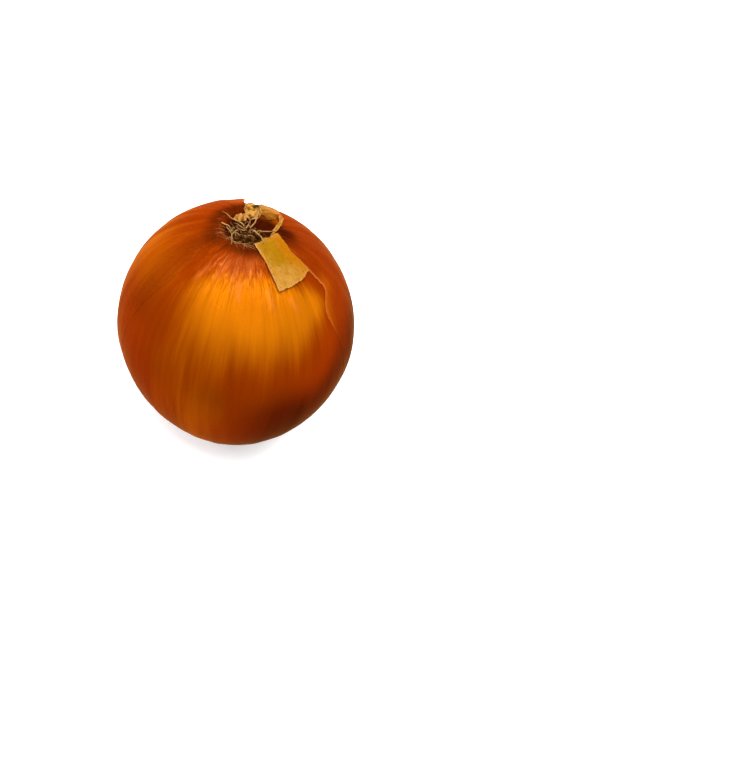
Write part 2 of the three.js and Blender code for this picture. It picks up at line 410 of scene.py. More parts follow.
# What a skin's masks say at each point, 0 to 1: how golden it is, which is partly painted highlight,
# how stained it is and how much painted shade lies on it, how crinkled, how flushed with another
# tone, and how near a pale torn edge it is; the edge mask also carries painted highlights.
MASKS = ("gold", "stained", "crinkled", "flushed", "edge")
# Settings that many nodes share: a product added to a third value, an eased range, and a blend of
# two colours.
SUM = {"operation": "MULTIPLY_ADD"}
EASED = {"interpolation_type": "SMOOTHSTEP"}
BLEND = {"data_type": "RGBA", "out": 2}


def streaks(tree, where, width, length, offset, detail=2.0, warp=0.0):
    """Noise drawn out along the skin's veins, in features of a width and a length. The attribute
    "around" counts in radii of the bulb, so both are turned into features per radius. The width is
    the one at the girth: like the veins, the features narrow towards the poles. The offset moves
    the pattern, and warp bends it."""
    across, along = BULB_RADIUS / width, BULB_RADIUS / length
    scaled = add_node(tree, "VectorMath", {0: where, 1: (across, across, along), 2: (offset,) * 3}, **SUM)
    noise = {"Vector": scaled, "Scale": 1.0, "Detail": detail, "Roughness": 0.55, "Distortion": warp}
    return add_node(tree, "TexNoise", noise)


def skin_material(name, deep, bright, stain, flush, pale, thin=0.0, gloss=0.42, copper=0.3):
    """Dried outer scale of the bulb. Its veins run from root to neck, so the colour lies in streaks
    about 6, 2.5 and 0.9 mm wide at the girth, between a deep and a bright tone, with single dark
    veins among them. Under the root end, where it is crinkled, the streaks are bent creases about
    1.5 mm wide and 5 mm long, with pale flecks on their crests that are a painted highlight. The
    stain mask lays on a dark tone that is partly stain and partly painted shade, and the edge mask a
    pale tone for torn edges and for painted highlights. The dried cell layer scatters light under a
    thin wax film, so the gloss is broad and takes on the skin's own colour. A loose skin is thin
    enough to glow a little when it is lit from behind."""
    material, tree = new_material(name)
    where = add_node(tree, "Attribute", out="Vector", attribute_name="around")
    gold, stained, crinkled, flushed, edge = [
        add_node(tree, "Attribute", out="Fac", attribute_name=label) for label in MASKS
    ]
    broad = streaks(tree, where, 6.242 * MM, 41.61 * MM, 3.0)
    middle = streaks(tree, where, 2.497 * MM, 28.81 * MM, 7.0)
    fine = streaks(tree, where, 0.8917 * MM, 20.81 * MM, 11.0, detail=1.0)
    bent = streaks(tree, where, 2.881 * MM, 4.993 * MM, 19.0, detail=3.0, warp=1.0)
    # Both sums start below 0, so that the tone and the crease are about 0 on average.
    tone, crease = -0.485, -0.9
    for streak, weight in ((fine, 0.12), (middle, 0.3), (broad, 0.55)):
        tone = add_node(tree, "Math", {0: streak, 1: weight, 2: tone}, **SUM)
    for streak, weight in ((fine, 0.4), (bent, 1.4)):
        crease = add_node(tree, "Math", {0: streak, 1: weight, 2: crease}, **SUM)
    tone = add_node(tree, "Math", {0: crease, 1: crinkled, 2: tone}, **SUM)

    share = add_node(tree, "Math", {0: tone, 1: 0.9, 2: gold}, **SUM)
    share = add_node(tree, "MapRange", {"Value": share}, **EASED)
    colour = add_node(tree, "Mix", {0: share, 6: deep, 7: bright}, **BLEND)
    light = {"Value": tone, "From Min": -0.3, "From Max": 0.3, "To Min": 0.8, "To Max": 1.2}
    light = add_node(tree, "MapRange", light)
    colour = add_node(tree, "Mix", {0: 1.0, 6: colour, 7: light}, blend_type="MULTIPLY", **BLEND)

    blotch = {"Value": crease, "From Min": -0.2, "From Max": 0.2, "To Min": 0.35}
    blotch = add_node(tree, "MapRange", blotch)
    blotch = add_node(tree, "Math", {0: blotch, 1: flushed}, operation="MULTIPLY")
    vein = streaks(tree, where, 7.202 * MM, 149.8 * MM, 17.0, detail=0.0)
    vein = add_node(tree, "Math", {0: vein, 1: -0.5}, operation="ADD")
    vein = add_node(tree, "Math", {0: vein}, operation="ABSOLUTE")
    vein = add_node(tree, "MapRange", {"Value": vein, "From Max": 0.03, "To Min": 0.14, "To Max": 0.0})
    # Pale flecks on the creases' crests: a painted highlight.
    crease_glint = {"Value": crease, "From Min": 0.06, "From Max": 0.32, "To Max": 0.65}
    crease_glint = add_node(tree, "MapRange", crease_glint, **EASED)
    crease_glint = add_node(tree, "Math", {0: crease_glint, 1: crinkled}, operation="MULTIPLY")
    # The stain mask's blots: stain, and painted shade where the mask holds it.
    blot = add_node(tree, "Math", {0: tone, 1: 0.5, 2: stained}, **SUM)
    blot = add_node(tree, "MapRange", {"Value": blot, "From Min": 0.1, "From Max": 0.95}, **EASED)
    for amount, over in ((blotch, flush), (vein, deep), (crease_glint, pale), (blot, stain), (edge, pale)):
        colour = add_node(tree, "Mix", {0: amount, 6: colour, 7: over}, **BLEND)

    folds = add_node(tree, "Math", {0: crease, 1: crinkled}, operation="MULTIPLY")
    height = 0.0
    for part, weight in ((fine, 0.25), (middle, 0.8), (folds, 3.7)):
        height = add_node(tree, "Math", {0: part, 1: weight, 2: height}, **SUM)
    normal = add_node(tree, "Bump", {"Height": height, "Distance": 0.12 * MM, "Strength": 1.0})
    shader = add_node(tree, "BsdfPrincipled", {
        "Base Color": colour, "Roughness": gloss, "Metallic": copper, "Specular IOR Level": 0.0,
        "Specular Tint": linear("c08060"), "Sheen Weight": 0.075, "Sheen Roughness": 0.3,
        "Sheen Tint": linear("ecd078"), "Normal": normal, "Subsurface Weight": thin,
        "Subsurface Radius": (1.0, 0.5, 0.2), "Subsurface Scale": 0.5 * MM,
    })
    add_node(tree, "OutputMaterial", {"Surface": shader})
    return material


def straw_material(name, deep, bright, stain, flush, pale):
    """Weathered skin that the sun has bleached to straw, matt and a little translucent: mottled in
    blots about 3 mm wide, with faint veins 1.2 mm apart at the girth and half that on the flap, and
    a few mould specks of 0.3 mm, which are the peaks of a noise 0.9 mm wide."""
    material, tree = new_material(name)
    where = add_node(tree, "Attribute", out="Vector", attribute_name="around")
    place = add_node(tree, "TexCoord", out="Object")
    gold, stained, _, flushed, edge = [
        add_node(tree, "Attribute", out="Fac", attribute_name=label) for label in MASKS
    ]
    mottle = {"Vector": place, "Scale": 1 / (3.03 * MM), "Detail": 3.0, "Roughness": 0.6}
    mottle = add_node(tree, "TexNoise", mottle)
    veins = streaks(tree, where, 1.248 * MM, 9.363 * MM, 31.0)
    tone = -0.9
    for part, weight in ((veins, 0.5), (mottle, 1.3)):
        tone = add_node(tree, "Math", {0: part, 1: weight, 2: tone}, **SUM)
    share = add_node(tree, "Math", {0: tone, 1: 1.1, 2: gold}, **SUM)
    share = add_node(tree, "MapRange", {"Value": share}, **EASED)
    colour = add_node(tree, "Mix", {0: share, 6: deep, 7: bright}, **BLEND)

    speck = add_node(tree, "TexNoise", {"Vector": place, "Scale": 1 / (0.909 * MM), "Detail": 1.0})
    speck = {"Value": speck, "From Min": 0.73, "From Max": 0.78, "To Max": 0.5}
    speck = add_node(tree, "MapRange", speck, **EASED)
    # Blots of the dark tone where the stain mask is high: on the flap and the shreds mostly painted shade
    # of folds and hollows.
    blot = add_node(tree, "Math", {0: tone, 1: 0.5, 2: stained}, **SUM)
    blot = add_node(tree, "MapRange", {"Value": blot, "From Min": 0.2, "From Max": 0.9}, **EASED)
    for amount, over in ((flushed, flush), (speck, stain), (blot, stain), (edge, pale)):
        colour = add_node(tree, "Mix", {0: amount, 6: colour, 7: over}, **BLEND)

    height = add_node(tree, "Math", {0: mottle, 1: 3.6, 2: veins}, **SUM)
    normal = add_node(tree, "Bump", {"Height": height, "Distance": 0.16 * MM, "Strength": 1.0})
    shader = add_node(tree, "BsdfPrincipled", {
        "Base Color": colour, "Roughness": 0.6, "Specular IOR Level": 0.0, "Normal": normal,
        "Subsurface Weight": 0.4, "Subsurface Radius": (1.0, 0.7, 0.3), "Subsurface Scale": 0.5 * MM,
    })
    add_node(tree, "OutputMaterial", {"Surface": shader})
    return material


def root_material(name, dark, light, stain):
    """Air-dried fibrous root: matt, each fibre its own tone, with dirt in blots about 1.5 mm wide
    and a grain of 0.4 mm."""
    material, tree = new_material(name)
    where = add_node(tree, "TexCoord", out="Object")
    tone = add_node(tree, "Attribute", out="Fac", attribute_name="tone")
    stained = add_node(tree, "Attribute", out="Fac", attribute_name="stained")
    dirt = add_node(tree, "TexNoise", {"Vector": where, "Scale": 1 / (1.538 * MM), "Detail": 3.0})
    share = add_node(tree, "Math", {0: dirt, 1: 0.9, 2: -0.45}, **SUM)
    share = add_node(tree, "Math", {0: share, 1: tone}, operation="ADD")
    share = add_node(tree, "MapRange", {"Value": share}, **EASED)
    colour = add_node(tree, "Mix", {0: share, 6: dark, 7: light}, **BLEND)
    # The dark mat tone where the stain mask is high: dirt, and on the plate painted shade between lumps.
    colour = add_node(tree, "Mix", {0: stained, 6: colour, 7: stain}, **BLEND)
    grain = add_node(tree, "TexNoise", {"Vector": where, "Scale": 1 / (0.4167 * MM), "Detail": 2.0})
    normal = add_node(tree, "Bump", {"Height": grain, "Distance": 0.1 * MM, "Strength": 0.6})
    shader = add_node(tree, "BsdfPrincipled", {
        "Base Color": colour, "Roughness": 0.75, "Specular IOR Level": 0.0, "Normal": normal,
    })
    add_node(tree, "OutputMaterial", {"Surface": shader})
    return material


# ------------------------------------------------------------ settings


class OnionForm(bpy.types.PropertyGroup):
    """Sizes of the onion's finish."""

    relief: FloatProperty(
        name="Rib relief", description="Depth of the skin's fine ribs",
        default=0.16 * MM, min=0.0, unit="LENGTH",
    )
    sheet_thickness: FloatProperty(
        name="Skin thickness", description="Thickness of a dry papery skin",
        default=0.14 * MM, min=0.0, unit="LENGTH",
    )
    root_radius: FloatProperty(
        name="Root radius", description="Radius of a dry root",
        default=0.21 * MM, min=0.0, unit="LENGTH",
    )
    root_count: IntProperty(
        name="Short roots", description="How many short dry roots there are", default=30, min=1
    )
    hair_count: IntProperty(
        name="Rim hairs", description="How many fine hairs lie on the dimple's rim", default=44, min=1
    )


def colour_setting(label, description, hex_colour):
    """A colour that a user can change, kept as linear red, green, blue and alpha."""
    return FloatVectorProperty(
        name=label, description=description, default=linear(hex_colour),
        subtype="COLOR", size=4, min=0.0, max=1.0,
    )


class OnionColours(bpy.types.PropertyGroup):
    """Colours of the onion's finish."""

    copper: colour_setting("Copper", "Bulb skin where it is deepest", "682200")
    # The gold tone is laid on partly as painted highlight, where the bulb's upper side is lit.
    gold: colour_setting("Gold", "Bulb skin where it is brightest", "8f4c02")
    outer: colour_setting("Outer skin", "Right loose skin, deep tone", "642101")
    outer_light: colour_setting("Outer skin light", "Right loose skin, bright tone", "823c04")
    # The stain tone is laid on both as stain and as painted shade: in the dimple, under raised skins, down
    # the right and low on the bulb.
    stain: colour_setting("Stain", "Stained skin, in the dimple and low on the bulb", "2a0801")
    blush: colour_setting("Blush", "Skin under the root end and the crusts' lower ends", "7c3612")
    # The pale tone paints torn edges, and also highlights: flecks on crease crests, the creases' ridges
    # and a sheen along the left skin's edge.
    pale: colour_setting("Pale edge", "Torn edge and bright flecks of a skin", "9a5222")
    straw: colour_setting("Straw", "Flap and dimple wall, bright tone", "855e24")
    straw_deep: colour_setting("Straw deep", "Flap and crusts, deep tone", "6e4a04")
    amber: colour_setting("Amber", "Flap along its right side, and the dimple wall", "7a4604")
    # The olive tone is laid on as specks, and as painted shade in folds and hollows.
    olive: colour_setting("Olive", "Flap and crusts, specks and folds", "2e1a04")
    bleached: colour_setting("Bleached", "Crusts, and torn edges of the straw skin", "96693a")
    root: colour_setting("Root", "Dry root, light tone", "8a653c")
    root_dark: colour_setting("Root dark", "Dry root, dark tone", "321704")
    # The mat tone is dirt and also painted shade in the plate's hollows.
    mat: colour_setting("Root mat", "Dirty middle of the root plate", "180b01")
    neck: colour_setting("Neck", "Neck leaves and dimple wall, light tone", "7a5428")
    neck_dark: colour_setting("Neck dark", "Neck leaves, dark tone", "46240a")


class OnionStage(bpy.types.PropertyGroup):
    """Camera, lights and floor."""

    elevation: FloatProperty(
        name="Camera elevation", description="Height of the camera above the horizon, seen from the onion",
        default=math.radians(72.0), subtype="ANGLE",
    )
    distance: FloatProperty(
        name="Camera distance", description="From the onion's centre to the camera",
        default=0.9, min=0.1, unit="LENGTH",
    )
    key_strength: FloatProperty(
        name="Key light", description="Power of the overhead light", default=48.0, unit="POWER"
    )
    rim_strength: FloatProperty(
        name="Rim light", description="Power of the low light behind", default=12.0, unit="POWER"
    )
    table_glow: FloatProperty(
        name="Table glow", description="Light that the white table gives off", default=0.2
    )
    sky_strength: FloatProperty(
        name="Sky", description="Strength of the even light all round", default=0.95
    )


# ------------------------------------------------------------ the bulb and its neck

BULB_ROWS, BULB_COLUMNS = 210, 300
SHOULDER_END_DEG = 165.0  # where the bulb's surface passes into the neck's stub
NECK_ROWS = 56
# The middle line of the neck, in the onion's own frame, and the radius round it.
NECK_LINE = MM * np.array([
    [-0.1, 0.1, -39.9],
    [-0.7, 0.5, -41.0],
    [-2.0, 0.9, -41.8],
    [-4.1, 1.2, -42.1],
    [-6.3, 1.4, -41.8],
    [-8.4, 1.5, -41.1],
])
NECK_RADII = MM * np.array([5.6, 3.9, 3.2, 2.8, 2.4, 1.5])
# Blots of gold, partly painted highlight, and of stain and painted shade on the bulb's skin: a
# weight, a longitude and its half-width, and a colatitude and its half-width, in degrees.
GOLD_AND_HIGHLIGHT_BLOTS = (
    (-0.16, -110, 12, 51, 9),
    (-0.16, -84, 9, 38, 4),
    # On the upper left: partly painted highlight, partly a lighter tone.
    (0.5, -178, 34, 52, 21),
)
STAIN_AND_SHADE_BLOTS = (
    (0.2, -85, 26, 19, 5),  # painted shade round the dimple, on the side that faces up
    # painted shade under the raised edge of the left skin, beside the dimple
    (0.1, 118, 32, 18, 9),
    (0.14, 162, 20, 20, 5),
    (0.42, 14, 16, 20, 5),  # painted shadow down the right from the dimple, beside the rim strip and the flap
    (0.3, -4, 13, 25, 7),
    (0.22, 24, 15, 31, 8),
    (0.42, -79, 26, 46, 14),  # down the middle of the bulb
    (0.24, -94, 15, 92, 11),
    (0.3, -122, 12, 90, 15),
)


def spline(points, x):
    """A smooth line through evenly spaced points, at shares x of its length in steps."""
    stops = np.linspace(0, 1, len(points))
    return np.stack([curve(np.stack([stops, values], -1), x) for values in np.asarray(points).T], -1)


def neck_grid(longitude):
    """Points, colatitudes and longitudes of the neck's rings, from the shoulder to the end of its
    stub. Each ring goes square round the neck's middle line, with a radius pleated by a folded sine
    that twists along the line. The last rings close in like a ball."""
    edge = own_point(np.array(SHOULDER_END_DEG), longitude)
    start_radius = np.hypot(edge[:, 0], edge[:, 1]).mean()
    share = np.linspace(0, 1, NECK_ROWS + 1)[1:]
    middle = spline(np.vstack([[0, 0, edge[:, 2].mean()], NECK_LINE]), share)
    radius = spline(np.stack([np.r_[start_radius, NECK_RADII]], -1), share)
    tangent = np.gradient(middle, axis=0)
    tangent /= np.linalg.norm(tangent, axis=1, keepdims=True)
    side = -np.cross(tangent, np.cross(tangent, np.array([1.0, 0.0, 0.0])))
    side /= np.linalg.norm(side, axis=1, keepdims=True)
    other = np.cross(side, tangent)
    u, angle = np.meshgrid(share, np.radians(longitude), indexing="ij")
    fold = neck_pleats(np.degrees(angle), SHOULDER_END_DEG / PLEAT_TWIST_DEG + u * 1.2)
    rounded_end = np.sqrt(np.clip(1 - smooth(u, 0.93, 1.0) ** 2, 0.02, 1))
    reach = radius * (1 + (0.04 + 0.12 * u) * fold) * rounded_end
    spokes = np.cos(angle)[..., None] * side[:, None] + np.sin(angle)[..., None] * other[:, None]
    points = middle[:, None] + reach[..., None] * spokes
    return points, SHOULDER_END_DEG + (180 - SHOULDER_END_DEG) * u, np.degrees(angle)


def bulb_grid(depth):
    """Points, colatitudes and longitudes of rings from the root pole to the end of the neck. Down
    to the shoulder each ring lies on the bulb's surface with its ribs, and then come the neck's."""
    longitude = np.arange(BULB_COLUMNS) * 360 / BULB_COLUMNS
    # The rings lie nearly evenly, a little closer together towards both ends.
    crowded = 0.5 - 0.5 * np.cos(np.linspace(0.02, 1, BULB_ROWS) * math.pi)
    even = np.linspace(0.003, 1, BULB_ROWS)
    colatitude = (0.25 * crowded + 0.75 * even) * SHOULDER_END_DEG
    t, lon = np.meshgrid(colatitude, longitude, indexing="ij")
    body = own_point(t, lon, skin_off(t, lon, depth)), t, lon
    return [np.concatenate(parts) for parts in zip(body, neck_grid(longitude))]


def blots(t, lon, table):
    """Soft blots added up. Each is its weight times a bell across the longitude times a bell along
    the colatitude."""
    return sum(
        weight * bump(turn_gap(lon, middle), width) * bump(t - height, depth)
        for weight, middle, width, height, depth in table
    )


def gold_share(t, lon):
    """Where the bulb's skin is golden, 0 to 1: a broad patch on its upper side, under the root end,
    a little fainter in two places, and fainter patches low on the bulb, on its left and at the far
    right of the dimple. The broad patch and the patch on the left are partly the skin's own lighter
    tone and partly a painted highlight where the light falls brightest."""
    # The broad patch on the upper side: partly painted highlight.
    gap = turn_gap(lon, -82)
    first = 25 + 0.0057 * gap**2
    side = curve([[20, -48], [43, -42], [55, -37], [66, -33], [80, -24]], t)
    far = curve([[20, 40], [47, 65], [53, 56], [60, 47], [67, 42], [74, 39], [80, 38]], t)
    patch = smooth(t, first - 5, first + 16) * (1 - smooth(t, 49, 88))
    patch = patch * smooth(gap - side, -20, 24) * smooth(far - gap, -14, 16)
    low = bump(turn_gap(lon, -107), 18) * (0.26 * smooth(t, 62, 80) + 0.1 * smooth(t, 90, 112))
    low = low + 0.11 * bump(turn_gap(lon, -86), 30) * smooth(t, 76, 100)
    behind = 0.4 * bump(turn_gap(lon, 58), 34) * (1 - smooth(t, 24, 34))
    return patch + low + behind + blots(t, lon, GOLD_AND_HIGHLIGHT_BLOTS)


def stain_and_shade_share(t, lon):
    """Where the skin is darkened, 0 to 1, partly stain and partly painted shade: painted shade on the
    dimple's floor, which is lighter at its left and far right, down its wall at the far right and
    round the rest of its rim; darker faintly down the left and middle of the bulb; and, low on its
    right, from higher up at the side, painted shade with some of the skin's own darker tone. The
    blots add painted shade under the raised edge of the left skin and down the right from the dimple."""
    # The dimple's wall, floor and rim: painted shade of the hollow, with some stain.
    wall = 0.7 * bump(turn_gap(lon, 50), 36) * (1 - smooth(t, 12, 20))
    lighter = 0.35 * bump(turn_gap(lon, 160), 30) + 0.4 * bump(turn_gap(lon, 62), 30)
    floor = (1 - smooth(t, 9.5, 14.5)) * (1 - lighter)
    rim = 0.55 * bump(t - 16, 6) * (1 - bump(turn_gap(lon, 62), 34))
    left = 0.4 * bump(turn_gap(lon, -148), 24) * smooth(t, 14, 24) * (1 - smooth(t, 66, 90))
    # Low on the right and up its side: painted shade, with some of the skin's own darker tone.
    gap = turn_gap(lon, -48)
    first = curve([[-32, 74], [-12, 69], [10, 70], [23, 58], [48, 52]], gap)
    low = 0.75 * bump(gap, 40) * smooth(t, first, first + 34)
    low = low + 0.65 * bump(turn_gap(lon, 8), 24) * smooth(t, 48, 74)
    low = low + 0.1 * bump(turn_gap(lon, -108), 18) * smooth(t, 98, 108)
    return np.clip(wall + floor + rim + left + low + blots(t, lon, STAIN_AND_SHADE_BLOTS), 0, 1)


def masks(t, lon, **values):
    """The attributes that a skin material reads at each point. Masks that are not given are 0."""
    labelled = {label: np.broadcast_to(values.get(label, 0.0), t.shape) for label in MASKS}
    return {"around": around(t, lon), **labelled}


def skin_masks(t, lon, edge=0.0, gold=1.0):
    """The masks of the bulb's skin, for the bulb and the skins that lie close on it. The creases'
    ridges are made pale through the edge mask, a painted highlight. The last argument is the share
    kept of the golden tone, which is partly painted highlight."""
    # Painted highlight on the creases' ridges.
    edge = edge + 0.28 * single_creases(t, lon)
    flushed = 0.9 * bump(t - 27, 7) * bump(turn_gap(lon, -88), 24)
    return masks(
        t, lon,
        gold=gold * gold_share(t, lon),
        stained=stain_and_shade_share(t, lon),
        crinkled=crinkled_share(t, lon),
        flushed=flushed,
        edge=edge,
    )


class ONION_OT_bulb(bpy.types.Operator):
    """Builds the bulb with its root dimple, its flat spot and its pleated neck."""

    bl_idname = "onion.bulb"
    bl_label = "Bulb"

    def execute(self, context):
        form, tones = context.scene.onion_form, context.scene.onion_colours
        points, t, lon = bulb_grid(form.relief)
        faces = closed_faces(*t.shape)
        placed = to_frame(np.vstack([points.reshape(-1, 3), points[0].mean(0), points[-1].mean(0)]))
        skin = skin_masks(np.r_[t.ravel(), 0.0, 180.0], np.r_[lon.ravel(), 0.0, 0.0])
        material = skin_material(
            "dried_onion_scale_waxy", tones.copper, tones.gold, tones.stain, tones.blush, tones.pale
        )
        new_piece("bulb_skin", placed, faces, skin, material, ["bulb"])
        return {"FINISHED"}


# ------------------------------------------------------------ loose outer skins

# Outlines of sheets: sides as [colatitude, longitude], ends as [share across, colatitude].
LEFT_SKIN = {
    "left": [
        [10, 117], [12, 113], [16, 108.4], [21, 105.6], [34, 102.1], [60, 105.5], [90, 124],
        [112, 142], [150, 148],
    ],
    "right": [[9, 238], [18.3, 239.5], [32, 230], [57, 219], [90, 208], [120, 202], [150, 196]],
    "top": [[0, 10.6], [0.12, 10.4], [0.3, 10.2], [0.5, 10.5], [0.75, 11], [1, 12]],
    "bottom": [[0, 148], [0.5, 150], [1, 147]],
}
RIGHT_SKIN = {
    "left": [
        [11, 4], [14.7, -12], [18, -18.5], [26.5, -22.5], [35.5, -21.2], [42.3, -19.5],
        [48.3, -19.2], [52.5, -24.4], [55.7, -27.0], [62.7, -26.0], [73, -22.4], [90, -17],
        [110, -14], [150, -12],
    ],
    "right": [[11, 24], [20, 56], [60, 50], [90, 36], [112, 26], [150, 20]],
    "top": [[0, 11.3], [0.35, 13.2], [0.7, 16.4], [1, 21.3]],
    "bottom": [[0, 147], [0.5, 149], [1, 146]],
}
# A loose skin's gap to the bulb at its edges, and how much wider it is 9 mm inside them.
EDGE_GAP, WIDER_GAP, WIDENING = 0.2 * MM, 0.28 * MM, 9 * MM
TUCK = -0.14 * MM  # how far an edge that clings to the bulb is drawn in


def loose_off(t, lon, margins, lift, reach, relief, seed):
    """How far a loose skin stands off the bulb: a thin gap that widens away from the edges, the ribs
    of the skin under it, soft wrinkles 12 mm wide, and a rise of the left, right, top and bottom
    edge by its lift, which falls away exponentially over the reach."""
    rise = sum(height * np.exp(-margin / reach) for height, margin in zip(lift, margins))
    inside = smooth(np.minimum.reduce(margins), 0.0, WIDENING)
    wrinkles = 0.08 * MM * inside * crumple(around(t, lon) * [9, 9, 2.4], pitch=3.0, seed=seed)
    return EDGE_GAP + WIDER_GAP * inside + skin_off(t, lon, relief) + rise + wrinkles


def left_skin(form):
    """Places and masks of the left skin. Its edge beside the root stands up, and is painted in shade
    there instead of pale. A pale band about 3 mm wide along its left edge, fading out between
    colatitudes 40 and 60, is a painted sheen."""
    t, lon, margins = sheet_grid(
        **LEFT_SKIN, rows=190, columns=180, ragged=(0.35, 0.2, 0.5, 1.2), seed=21
    )
    near_root = smooth(t, 9, 20) * (1 - smooth(t, 34, 60))
    lift = (1.2 * MM * near_root, TUCK, 0.0, 0.2 * MM)
    off = loose_off(t, lon, margins, lift, reach=9 * MM, relief=form.relief, seed=3)
    shaded = 1 - smooth(t, 20, 26)
    edge = 0.5 * np.exp(-np.minimum(margins[0], margins[3]) / (0.2 * MM))
    # A pale band about 3 mm wide along the left edge: painted sheen.
    edge = edge + 0.3 * np.exp(-margins[0] / (3 * MM)) * (1 - smooth(t, 40, 60))
    skin = skin_masks(t, lon, edge * (1 - shaded))
    # Painted shade beside the root, under the raised edge.
    skin["stained"] = skin["stained"] + 0.16 * shaded * np.exp(-margins[0] / (4 * MM))
    return t, lon, off, skin


def right_skin(form):
    """Places and masks of the right skin. Its torn left edge is pale in its upper part, with a golden
    band beside it that is partly painted highlight."""
    t, lon, margins = sheet_grid(
        **RIGHT_SKIN, rows=190, columns=110, ragged=(0.25, 0.5, 0.2, 1.2), seed=51
    )
    fade = 1 - smooth(t, 52, 78)
    lift = (TUCK + 0.1 * MM * fade, 0.1 * MM, 0.1 * MM, 0.2 * MM)
    off = loose_off(t, lon, margins, lift, reach=5 * MM, relief=form.relief, seed=5)
    edge = (0.3 + 0.45 * (1 - smooth(t, 45, 52))) * fade * smooth(t, 20, 24)
    edge = edge * bump(margins[0], 0.6 * MM)
    skin = skin_masks(t, lon, edge, gold=0.42)
    # A golden band beside the torn edge, partly painted highlight.
    golden = smooth(t, 34, 46) * (1 - smooth(t, 54, 72))
    skin["gold"] = skin["gold"] + 0.9 * golden * np.exp(-margins[0] / (4 * MM))
    return t, lon, off, skin


class ONION_OT_outer_skins(bpy.types.Operator):
    """Builds the two loose outer skins, torn along their sides."""

    bl_idname = "onion.outer_skins"
    bl_label = "Outer skins"

    def execute(self, context):
        form, tones = context.scene.onion_form, context.scene.onion_colours
        sides = (
            ("left", left_skin, tones.copper, tones.gold),
            ("right", right_skin, tones.outer, tones.outer_light),
        )
        for side, shape, deep, bright in sides:
            material = skin_material(
                "dry_papery_skin_" + side, deep, bright, tones.stain, tones.blush, tones.pale, thin=0.3
            )
            name = "outer_skin_" + side
            add_sheet(name, *shape(form), material, "outer_skin", form.sheet_thickness, [name])
        return {"FINISHED"}


# ------------------------------------------------------------ torn flap

FLAP = {
    "left": [
        [9, -76], [14, -71.3], [18.3, -66.4], [23.9, -62.9], [29.5, -60.5], [35.7, -58.8], [40, -57.8]
    ],
    "right": [
        [9, 20], [13.4, 2], [17.2, -11.8], [21, -19], [24.7, -23.1], [30.5, -22.8], [35.5, -23.2]
    ],
    "top": [[0, 14], [0.3, 10.2], [0.5, 9.2], [0.7, 10.0], [1, 13]],
    "bottom": [[0, 39.9], [0.2, 39.2], [0.4, 38.4], [0.6, 37.8], [0.8, 36.6], [1, 35.5]],
}
FLAP_LIFT, FLAP_END_LIFT = 0.7 * MM, 0.5 * MM  # off the bulb at the root, and added at the free end
FLAP_MARKS = ((27.6, -50), (28.6, -35.5), (32.5, -45))  # short marks of painted fold shade, as colatitude and longitude


def flap_sheet():
    """Places and masks of the flap: it rises towards its free end and is crumpled in folds about
    1 mm wide and 4 mm long. It is brighter towards its free end and amber towards the right, its torn
    edges are pale, it is darker along its top edge, and painted shade of folds lies along its right
    edge, along a line inside its left edge and in a few short marks."""
    t, lon, margins = sheet_grid(**FLAP, rows=90, columns=70, ragged=(0.12, 0.15, 0.9, 0.2), seed=83)
    down = (t - t.min()) / (t.max() - t.min())
    across = margins[0] / (margins[0] + margins[1])
    wrinkles = 0.2 * MM * crumple(around(t, lon) * [30, 30, 18], pitch=2.0, seed=8)
    off = FLAP_LIFT + FLAP_END_LIFT * down**1.5 + wrinkles
    edge = 0.8 * np.exp(-margins[0] / (0.3 * MM)) + 0.5 * np.exp(-margins[3] / (0.2 * MM))
    edge = edge + 0.4 * np.exp(-margins[2] / (0.9 * MM))
    # Darker along the top edge; painted shade of folds at the right edge, inside the left edge and in the
    # marks.
    fold = 0.4 * np.exp(-margins[1] / (0.8 * MM)) * bump(t - 33, 2)
    fold = fold + 0.34 * np.exp(-margins[2] / (1.2 * MM)) * (1 - smooth(across, 0.3, 0.9))
    fold = fold + 0.5 * bump(margins[0] - 2.2 * MM, 0.3 * MM) * bump(t - 18, 4)
    for mark_t, mark_lon in FLAP_MARKS:
        aside = turn_gap(lon, mark_lon)
        fold = fold + 0.7 * bump(t - mark_t - 0.25 * aside, 0.35) * bump(aside, 1.8)
    return t, lon, off, masks(
        t, lon,
        gold=0.2 + 0.65 * smooth(down, 0.45, 0.85) - 0.3 * across,
        stained=fold,
        flushed=0.85 * smooth(across, 0.45, 0.9) * (1 - 0.5 * bump(down - 1, 0.2)),
        edge=edge,
    )


class ONION_OT_flap(bpy.types.Operator):
    """Builds the straw-coloured flap that is torn free at its lower end."""

    bl_idname = "onion.flap"
    bl_label = "Torn flap"

    def execute(self, context):
        form, tones = context.scene.onion_form, context.scene.onion_colours
        material = straw_material(
            "straw_skin_weathered", tones.straw_deep, tones.straw, tones.olive, tones.amber, tones.bleached
        )
        add_sheet("skin_flap", *flap_sheet(), material, "straw_skin", form.sheet_thickness, ["skin_flap"])
        return {"FINISHED"}


# ------------------------------------------------------------ roots

MAT_RADIUS = 6.2 * MM
MAT_CENTRE = (-1.0 * MM, -1.6 * MM)
